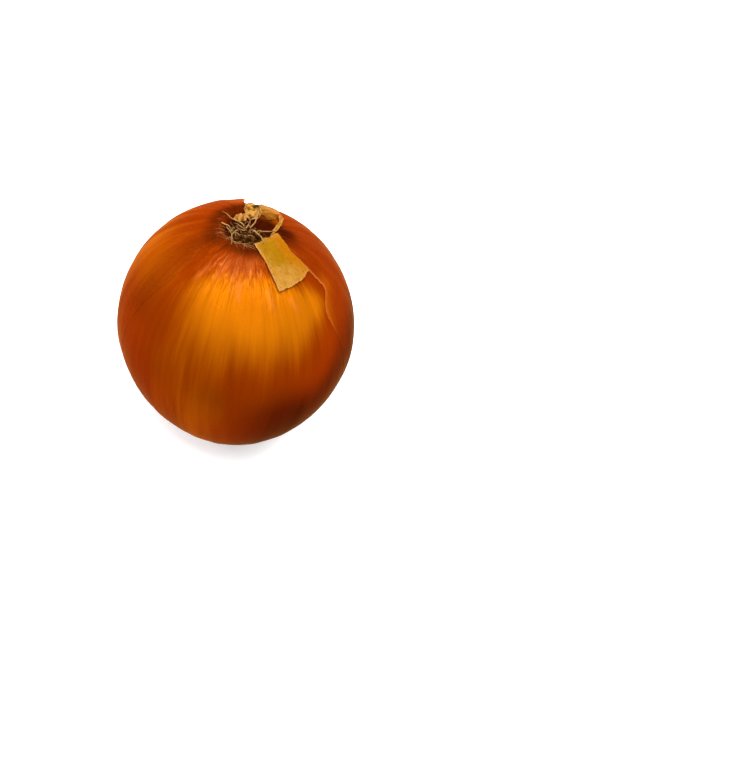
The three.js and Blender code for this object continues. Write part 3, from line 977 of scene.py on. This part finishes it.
# Middle lines of the long roots, in millimetres in the onion's own frame.
LONG_ROOTS = (
    (
        (-1.5, 1.2, 35.0), (-2.4, 1.9, 35.8), (-4.1, 2.6, 36.1), (-6.0, 2.6, 36.6),
        (-7.1, 3.2, 37.0), (-8.0, 4.3, 36.9), (-9.1, 5.8, 36.2), (-10.3, 6.9, 35.4),
    ),
    (
        (-1.2, -0.7, 35.4), (-2.5, -1.7, 35.9), (-3.7, -2.4, 36.0), (-4.2, -3.9, 36.1),
        (-4.6, -6.1, 36.8), (-4.3, -7.8, 36.8), (-4.1, -8.9, 36.2), (-4.0, -9.8, 35.6),
    ),
    (
        (0.2, 0.0, 35.2), (1.6, -1.0, 36.1), (2.5, -2.4, 36.5), (3.4, -3.3, 36.6),
        (4.4, -5.5, 37.4), (5.0, -7.5, 37.7), (5.7, -8.5, 37.2),
    ),
    ((3.3, -0.4, 35.9), (5.1, 0.0, 36.0), (6.7, 0.1, 36.3), (8.1, 0.6, 36.3)),
    (
        (0.2, 1.9, 35.2), (0.8, 2.8, 35.8), (1.2, 3.2, 36.4), (1.3, 4.4, 37.1), (1.4, 5.3, 37.6),
        (1.5, 6.2, 38.0), (1.6, 8.2, 38.2), (1.7, 10.7, 38.0), (1.8, 12.6, 38.0),
    ),
    ((-0.4, 3.3, 35.4), (-0.5, 4.6, 35.7), (-0.5, 5.9, 36.0)),
    ((-1.2, 0.9, 35.2), (-0.7, 1.9, 35.7), (-0.7, 4.1, 35.6)),
    ((-8.7, 0.4, 35.9), (-7.6, 0.0, 35.8), (-6.4, 0.0, 35.5), (-5.7, -0.7, 35.1)),
    ((-6.9, -1.4, 35.9), (-5.7, -3.4, 36.2), (-5.0, -4.5, 36.1), (-4.4, -6.3, 36.2)),
    ((-1.0, -0.1, 35.3), (-2.0, -0.1, 35.8), (-3.2, 0.5, 36.0), (-4.4, 1.0, 36.2), (-5.2, 0.9, 36.2)),
)
LONG_ROOT_SIZES = (0.8, 0.8, 1.2, 0.9, 1.0, 0.9, 0.75, 1.1, 0.75, 0.65)  # shares of the root radius
ROOT_STEPS, ROOT_SIDES = 26, 7
ALONG_ROOT = np.linspace(0, 1, ROOT_STEPS)


def mat_grid(rows=60, columns=120):
    """The root plate as a low lumpy dome: rings that grow to an uneven outline, with a height that
    falls from the middle to the rim and crumples on the way in lumps 1.5 and 0.7 mm wide. Also
    gives the lumps."""
    angle = np.arange(columns) * 2 * math.pi / columns
    u, a = np.meshgrid(np.linspace(0.02, 1, rows), angle, indexing="ij")
    outline = MAT_RADIUS * (1 + 0.1 * np.sin(3 * a + 1) + 0.06 * np.sin(7 * a) + 0.04 * np.sin(13 * a + 2))
    x = MAT_CENTRE[0] + outline * u * np.cos(a)
    y = MAT_CENTRE[1] + outline * u * np.sin(a)
    base = skin_height(x, y)
    place = np.stack([x, y, 0 * x], -1)
    lumps = crumple(place, 1.5 * MM, seed=4) + 0.6 * crumple(place, 0.7 * MM, seed=9)
    rise = (1.0 - u**3) * (0.95 + 0.6 * lumps) * MM
    return np.stack([x, y, base + rise - 0.15 * MM * u**6], -1), lumps


def short_root_paths(count, seed):
    """Middle lines of short roots: each starts on the root plate, heads outwards with a twist and a
    wave along it, and arches over the skin under it like a sine."""
    draw = np.random.default_rng(seed)
    start_angle = draw.uniform(0, 2 * math.pi, (count, 1))
    start_ring = draw.uniform(0.5, 4.4, (count, 1)) * MM
    length = draw.uniform(1.6, 4.6, (count, 1)) * MM
    heading = start_angle + draw.normal(0, 0.9, (count, 1))
    twist = draw.normal(0, 1.5, (count, 1))
    wave = draw.uniform(0.2, 0.8, (count, 1))
    phase = draw.uniform(0, 6.3, (count, 1))
    bearing = heading + twist * ALONG_ROOT + wave * np.sin(8 * ALONG_ROOT + phase)
    step = length / ROOT_STEPS
    x = MAT_CENTRE[0] + start_ring * np.cos(start_angle) + step * np.cumsum(np.cos(bearing), 1)
    y = MAT_CENTRE[1] + start_ring * np.sin(start_angle) + step * np.cumsum(np.sin(bearing), 1)
    arch = draw.uniform(0.4, 1.5, (count, 1)) * MM * np.sin(math.pi * (0.15 + 0.8 * ALONG_ROOT))
    z = skin_height(x, y) + 0.75 * MM + arch
    return np.stack([x, y, z], -1)


def rim_hair_paths(count, seed):
    """Middle lines of the fine hairs that lie flat on the rim of the dimple, each a line down the
    skin with a sideways bend and wave. They are short curls on the rim's lower side, and every
    fourth is a straighter, longer hair on its left."""
    draw = np.random.default_rng(seed)
    left = np.arange(count)[:, None] % 4 == 0
    middle = draw.normal(0, 1, (count, 1)) * 26 + np.where(left, 185, 275)
    start = draw.uniform(11.5, 14.5, (count, 1))
    t = start + draw.uniform(1.5, 4.5, (count, 1)) * np.where(left, 1.4, 1.0) * ALONG_ROOT
    bend = draw.normal(0, 1, (count, 1)) * np.where(left, 5, 15)
    lon = middle + bend * ALONG_ROOT + draw.normal(0, 4, (count, 1)) * np.sin(5 * ALONG_ROOT)
    off = 0.3 * MM + draw.uniform(0.0, 0.35, (count, 1)) * MM * np.sin(math.pi * ALONG_ROOT)
    return own_point(t, lon, off)


class ONION_OT_root_tuft(bpy.types.Operator):
    """Builds the root plate, the long and short dry roots on it and the fine hairs of its rim."""

    bl_idname = "onion.root_tuft"
    bl_label = "Root tuft"

    def execute(self, context):
        form, tones = context.scene.onion_form, context.scene.onion_colours
        material = root_material("air_dried_roots", tones.root_dark, tones.root, tones.mat)
        points, lumps = mat_grid()
        bottom = [*MAT_CENTRE, skin_height(*np.array(MAT_CENTRE)) - 0.3 * MM]
        placed = to_frame(np.vstack([points.reshape(-1, 3), points[0].mean(0), bottom]))
        faces = closed_faces(*lumps.shape)
        lumps = np.r_[lumps.ravel(), 0, 0]
        # The mat is darker in the hollows between its lumps: dirt together with painted shade.
        plate = {"tone": 0.1 + 0.34 * lumps, "stained": np.clip(0.6 - 0.7 * lumps, 0, 1)}
        new_piece("root_plate", placed, faces, plate, material, ["root_tuft"])

        draw = np.random.default_rng(7)
        long_paths = np.stack([spline(np.array(line) * MM, ALONG_ROOT) for line in LONG_ROOTS])
        self.add_roots("long_roots", long_paths, LONG_ROOT_SIZES, 0.8, draw, form, material)
        short_paths = short_root_paths(form.root_count, seed=31)
        sizes = draw.uniform(0.35, 0.85, form.root_count)
        self.add_roots("short_roots", short_paths, sizes, 0.32, draw, form, material)
        hair_paths = rim_hair_paths(form.hair_count, seed=77)
        sizes = draw.uniform(0.12, 0.28, form.hair_count)
        self.add_roots("rim_hairs", hair_paths, sizes, 0.7, draw, form, material)
        return {"FINISHED"}

    def add_roots(self, name, paths, sizes, tone, draw, form, material):
        """One piece of many roots. Each has its size as a share of the root radius, tapers to under
        half of it, and has its own tone, which darkens towards the tip."""
        radii = form.root_radius * np.outer(sizes, 1.0 - 0.55 * ALONG_ROOT**2)
        points, faces = tubes(to_frame(paths), radii, ROOT_SIDES)
        tones = tone + draw.normal(0, 0.2, (len(paths), 1)) - 0.35 * ALONG_ROOT**3
        tones = tube_shares(tones, ROOT_SIDES)
        new_piece(name, points, faces, {"tone": tones}, material, ["root_tuft"])


# ------------------------------------------------------------ shreds round the root

# Each shred: its outline, its height off the skin at the top and at the bottom in millimetres, how
# golden it is, and how deep its folds are.
SHREDS = {
    "rim_crust": {
        "outline": {
            "left": [[9, 76], [14, 76], [20, 84], [27, 88]],
            "right": [[9, 110], [14, 109], [20, 105.5], [27, 103]],
            "top": [[0, 10.5], [0.3, 9.2], [0.7, 9.6], [1, 9.8]],
            "bottom": [[0, 26], [0.3, 28], [0.6, 27.5], [1, 24]],
        },
        "high": 1.2, "low": 0.6, "gold": 0.35, "rough": 1.0,
    },
    "rim_crust_left": {
        "outline": {
            "left": [[9, 106], [14, 108]],
            "right": [[9, 142], [14, 146]],
            "top": [[0, 9.2], [0.5, 9.4], [1, 10]],
            "bottom": [[0, 12.8], [0.3, 12.0], [0.6, 12.3], [1, 11.5]],
        },
        "high": 0.6, "low": 0.7, "gold": 0.35, "rough": 1.0,
    },
    "rim_strip": {
        "outline": {
            "left": [[11, -4], [12.8, 6], [14.6, 20], [16.6, 32], [19, 41], [22, 48]],
            "right": [[11, 12], [12.8, 23], [14.6, 32], [16.6, 41], [19, 50], [22, 58]],
            "top": [[0, 11], [1, 11.5]],
            "bottom": [[0, 20.4], [0.5, 21.6], [1, 20.6]],
        },
        "high": 1.2, "low": 1.4, "gold": 0.3, "rough": 0.6,
    },
}
# The thin skin that lines the far wall of the dimple, between the crust and the strip.
LINING = {
    "left": [[10, 46], [14, 50], [18, 54], [22, 58], [27, 64], [33, 72], [37, 76]],
    "right": [[10, 92], [20, 90], [37, 88]],
    "top": [[0, 14.5], [0.25, 13.5], [0.5, 14.2], [0.75, 13.2], [1, 14]],
    "bottom": [[0, 34], [0.5, 37], [1, 37]],
}


def shred_sheet(order, outline, high, low, gold, rough):
    """Places and masks of a shred, crumpled in folds about 3.2 and 1.4 mm wide that stand 0.45 mm
    up and down, painted lighter on their crests and darker in their valleys as painted highlight and
    shade. The crust has a dark spot of painted shade for a hollow near its far end."""
    t, lon, margins = sheet_grid(
        **outline, rows=60, columns=60, ragged=(0.3, 0.3, 0.4, 0.3), seed=101 + 10 * order
    )
    down = (t - t.min()) / (t.max() - t.min())
    place = own_point(t, lon)
    coarse = crumple(place, 3.2 * MM, seed=15 + order)
    fine = crumple(place, 1.4 * MM, seed=25 + order)
    folds = rough * (0.7 * coarse + 0.6 * fine)
    off = (high + (low - high) * down + 0.45 * folds) * MM
    hollow_shade = bump(turn_gap(lon, 86), 6) * bump(t - 23, 4)
    return t, lon, off, masks(
        t, lon,
        gold=gold + 0.5 * folds,
        stained=0.15 + 0.2 * rough - 0.7 * folds + hollow_shade,
        flushed=0.6 * smooth(down, 0.6, 1.0),
        edge=0.5 * np.exp(-np.minimum.reduce(margins) / (0.2 * MM)),
    )


def lining_sheet():
    """Places and masks of the lining, close on the wall, with folds about 3 mm wide that are lighter on
    their crests and darker in their valleys. It is darker down in the dimple, which is painted shade,
    and paler from its rim on."""
    t, lon, _ = sheet_grid(**LINING, rows=60, columns=60, ragged=(0.5, 0.1, 0.3, 0.3), seed=141)
    folds = crumple(own_point(t, lon), 3.0 * MM, seed=19)
    return t, lon, (0.45 + 0.1 * folds) * MM, masks(
        t, lon,
        gold=0.1 + 0.25 * folds,
        flushed=0.2 + 0.6 * smooth(t, 21, 27),
        stained=0.52 - 0.32 * smooth(t, 20, 27) - 0.15 * folds,
    )


class ONION_OT_rim_shreds(bpy.types.Operator):
    """Builds the torn shreds of old skin that stand round the dimple."""

    bl_idname = "onion.rim_shreds"
    bl_label = "Rim shreds"

    def execute(self, context):
        form, tones = context.scene.onion_form, context.scene.onion_colours
        crust = straw_material(
            "weathered_skin_crust",
            tones.straw_deep, tones.bleached, tones.olive, tones.blush, tones.bleached,
        )
        for order, (name, shred) in enumerate(SHREDS.items()):
            add_sheet(name, *shred_sheet(order, **shred), crust, "outer_skin", form.sheet_thickness)
        wall = straw_material(
            "dimple_wall_skin", tones.amber, tones.straw, tones.stain, tones.neck, tones.bleached
        )
        add_sheet("rim_lining", *lining_sheet(), wall, "outer_skin", form.sheet_thickness)
        return {"FINISHED"}


# ------------------------------------------------------------ neck leaves

# Each leaf end: its outline, and how far its free end stands off the bulb in millimetres.
NECK_LEAVES = {
    "neck_leaf_long": {
        "outline": {
            "left": [[157, -6], [163, -18], [169, -28]],
            "right": [[157, 6], [163, 16], [169, 32]],
            "top": [[0, 159], [0.4, 157], [1, 158.5]],
            "bottom": [[0, 169], [1, 169]],
        },
        "rise": 3.6,
    },
    "neck_leaf_short": {
        "outline": {
            "left": [[160, 196], [165, 190], [169, 180]],
            "right": [[160, 206], [165, 214], [169, 224]],
            "top": [[0, 161.5], [0.4, 160], [1, 161]],
            "bottom": [[0, 169], [1, 169]],
        },
        "rise": 2.0,
    },
}


def leaf_sheet(order, outline, rise):
    """Places and masks of a leaf end, which leaves the neck 0.8 mm off the bulb and rises evenly to
    its free end, with folds that run along it."""
    t, lon, margins = sheet_grid(
        **outline, rows=60, columns=50, ragged=(0.4, 0.4, 0.7, 0.0), seed=151 + 10 * order
    )
    up = (t.max() - t) / (t.max() - t.min())
    folds = crumple(around(t, lon) * [40, 40, 12], pitch=3.0, seed=25 + order)
    off = (0.8 + (rise - 0.8) * up + 0.2 * folds) * MM
    return t, lon, off, masks(t, lon, gold=0.5 + 0.3 * folds, edge=0.5 * np.exp(-margins[2] / (0.3 * MM)))


class ONION_OT_neck_leaves(bpy.types.Operator):
    """Builds the papery leaf ends that curl away beside the neck."""

    bl_idname = "onion.neck_leaves"
    bl_label = "Neck leaves"

    def execute(self, context):
        form, tones = context.scene.onion_form, context.scene.onion_colours
        material = skin_material(
            "withered_neck_skin", tones.neck_dark, tones.neck, tones.root_dark, tones.neck, tones.pale,
            thin=0.3, gloss=0.6, copper=0.0,
        )
        for order, (name, leaf) in enumerate(NECK_LEAVES.items()):
            sheet = leaf_sheet(order, **leaf)
            add_sheet(name, *sheet, material, "neck_skin", form.sheet_thickness, [name])
        return {"FINISHED"}


# ------------------------------------------------------------ stage

CAMERA_SENSOR = 36.0  # millimetres, along the picture's longer side
CAMERA_LENS = 133.6  # millimetres
CAMERA_CLIP = 0.05
PICTURE_SIZE = (756, 772)  # pixels
ONION_PIXEL = (235.8, 322.5)  # where the bulb's centre stands in the picture
FLOOR_HALF, FLOOR_DROP = 3.0, 0.1 * MM  # half its side, and how far it lies under the onion
# The lights' places, from the bulb's centre, and the sides of their squares.
KEY_PLACE, KEY_SIDE = (0.16, 0.29, 1.19), 1.2
RIM_PLACE, RIM_SIDE = (-1.1, 0.9, 0.45), 0.8


def camera_matrix(elevation, distance):
    """A camera on the ray that rises from the bulb's centre at the elevation. It is turned about
    its own place so that the centre stands at ONION_PIXEL."""
    back = Vector((0, -math.cos(elevation), math.sin(elevation)))
    up = Vector((0, math.sin(elevation), math.cos(elevation)))
    base = Matrix((Vector((1, 0, 0)), up, back)).transposed()
    focal = CAMERA_LENS / CAMERA_SENSOR * max(PICTURE_SIZE)
    x = (ONION_PIXEL[0] - PICTURE_SIZE[0] / 2) / focal
    y = (PICTURE_SIZE[1] / 2 - ONION_PIXEL[1]) / focal
    aim = Vector((x, y, -1)).rotation_difference(Vector((0, 0, -1)))
    turned = base @ aim.to_matrix()
    return Matrix.Translation(Vector(CENTRE) + back * distance) @ turned.to_4x4()


def add_light(name, place, side, power):
    """A square area light at a place from the bulb's centre, turned towards that centre."""
    light = bpy.data.lights.new(name, "AREA")
    light.size = side
    light.energy = power
    lamp = bpy.data.objects.new(name, light)
    lamp.location = Vector(CENTRE) + Vector(place)
    lamp.rotation_euler = (-Vector(place)).to_track_quat("-Z", "Y").to_euler()
    bpy.context.scene.collection.objects.link(lamp)


def add_floor(glow):
    """A wide floor of uncoated white card just under the onion. Card scatters light evenly, and a
    faint glow keeps it white to its edge."""
    mesh = bpy.data.meshes.new("floor")
    signs = ((-1, -1), (1, -1), (1, 1), (-1, 1))
    corners = [(x * FLOOR_HALF, y * FLOOR_HALF, -FLOOR_DROP) for x, y in signs]
    mesh.from_pydata(corners, [], [(0, 1, 2, 3)])
    material, tree = new_material("matt_white_card")
    card = {
        "Base Color": linear("f1f1f1"), "Roughness": 0.9, "Specular IOR Level": 0.0,
        "Emission Color": linear("ffffff"), "Emission Strength": glow,
    }
    add_node(tree, "OutputMaterial", {"Surface": add_node(tree, "BsdfPrincipled", card)})
    mesh.materials.append(material)
    floor = bpy.data.objects.new("floor", mesh)
    bpy.context.scene.collection.objects.link(floor)


class ONION_OT_stage(bpy.types.Operator):
    """Adds the floor, the lights and the camera."""

    bl_idname = "onion.stage"
    bl_label = "Stage"

    def execute(self, context):
        scene = context.scene
        stage = scene.onion_stage
        add_floor(stage.table_glow)
        add_light("key", KEY_PLACE, KEY_SIDE, stage.key_strength)
        add_light("rim", RIM_PLACE, RIM_SIDE, stage.rim_strength)

        camera = bpy.data.objects.new("camera", bpy.data.cameras.new("camera"))
        camera.data.lens = CAMERA_LENS
        camera.data.sensor_width = CAMERA_SENSOR
        camera.data.clip_start = CAMERA_CLIP
        camera.matrix_world = camera_matrix(stage.elevation, stage.distance)
        scene.collection.objects.link(camera)
        scene.camera = camera

        world = bpy.data.worlds.new("studio")
        world.use_nodes = True
        sky = world.node_tree.nodes["Background"]
        sky.inputs["Color"].default_value = linear("ffffff")
        sky.inputs["Strength"].default_value = stage.sky_strength
        scene.world = world
        scene.view_settings.view_transform = "Standard"
        return {"FINISHED"}


class ONION_PT_sidebar(bpy.types.Panel):
    """Lists the onion's settings and the steps that build it."""

    bl_idname = "ONION_PT_sidebar"
    bl_label = "Brown Onion"
    bl_space_type = "VIEW_3D"
    bl_region_type = "UI"
    bl_category = "Onion"

    def draw(self, context):
        for label, group in SETTINGS.items():
            box = self.layout.box()
            for setting in group.__annotations__:
                box.prop(getattr(context.scene, label), setting)
        for step in STEPS:
            self.layout.operator("onion." + step)


SETTINGS = {"onion_form": OnionForm, "onion_colours": OnionColours, "onion_stage": OnionStage}
STEPS = ("bulb", "outer_skins", "flap", "root_tuft", "rim_shreds", "neck_leaves", "stage")
CLASSES = (
    *SETTINGS.values(),
    ONION_OT_bulb,
    ONION_OT_outer_skins,
    ONION_OT_flap,
    ONION_OT_root_tuft,
    ONION_OT_rim_shreds,
    ONION_OT_neck_leaves,
    ONION_OT_stage,
    ONION_PT_sidebar,
)


def register():
    """Registers the classes and keeps one set of settings on each scene."""
    for item in CLASSES:
        bpy.utils.register_class(item)
    for label, group in SETTINGS.items():
        setattr(bpy.types.Scene, label, PointerProperty(type=group))


def unregister():
    """Undoes register()."""
    for label in SETTINGS:
        delattr(bpy.types.Scene, label)
    for item in reversed(CLASSES):
        bpy.utils.unregister_class(item)


def main():
    """Registers the add-on and builds the onion step by step."""
    register()
    for step in STEPS:
        getattr(bpy.ops.onion, step)()


if __name__ == "__main__":
    main()
